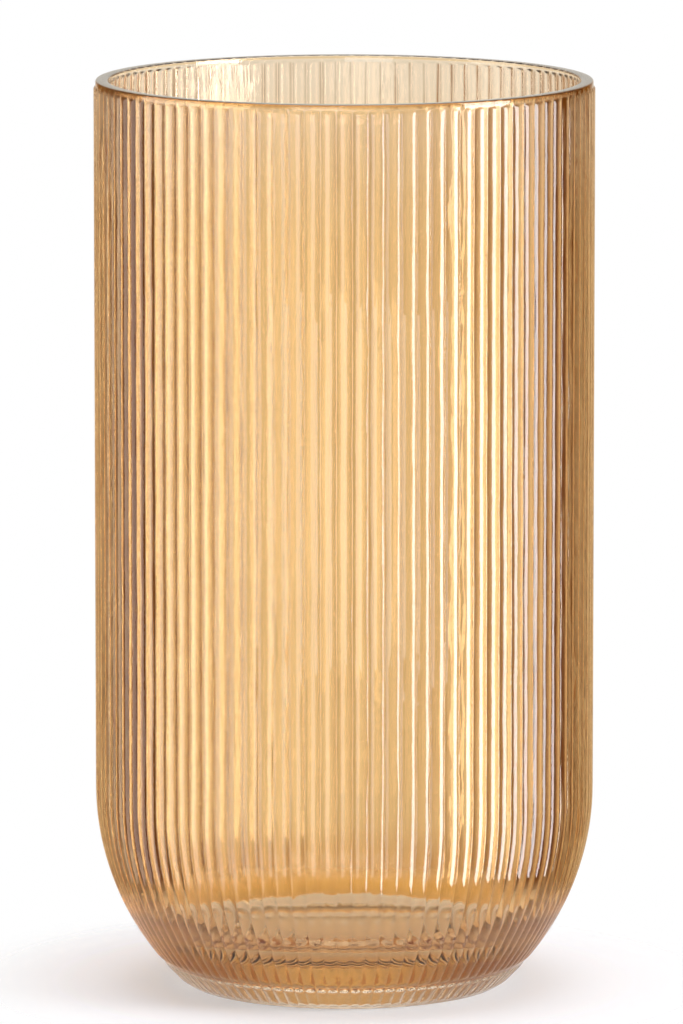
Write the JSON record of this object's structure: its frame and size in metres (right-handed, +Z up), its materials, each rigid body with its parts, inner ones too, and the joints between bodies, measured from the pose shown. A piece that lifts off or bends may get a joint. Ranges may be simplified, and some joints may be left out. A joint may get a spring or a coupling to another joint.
{
  "type": "ribbed cylinder vase",
  "caption": "Tall amber glass cylinder vase with fine vertical ribs, a rounded lower bowl, a thick smooth base and a smooth fire-polished lip.",
  "frame": {"origin": "centre of the underside, on the surface that the vase stands on", "axes": "+Z up the vase's own axis towards the mouth; +X and +Y are any two horizontal directions, since the vase is round"},
  "size_m": [0.1644, 0.1644, 0.3],
  "materials": {
    "amber_glass": "clear honey-amber glass blown into a ribbed mould, smooth inside, with a fire-polished lip"
  },
  "bodies": {
    "root": {"lip": "amber_glass", "ribbed_body": "amber_glass", "base": "amber_glass"}
  },
  "joints": []
}
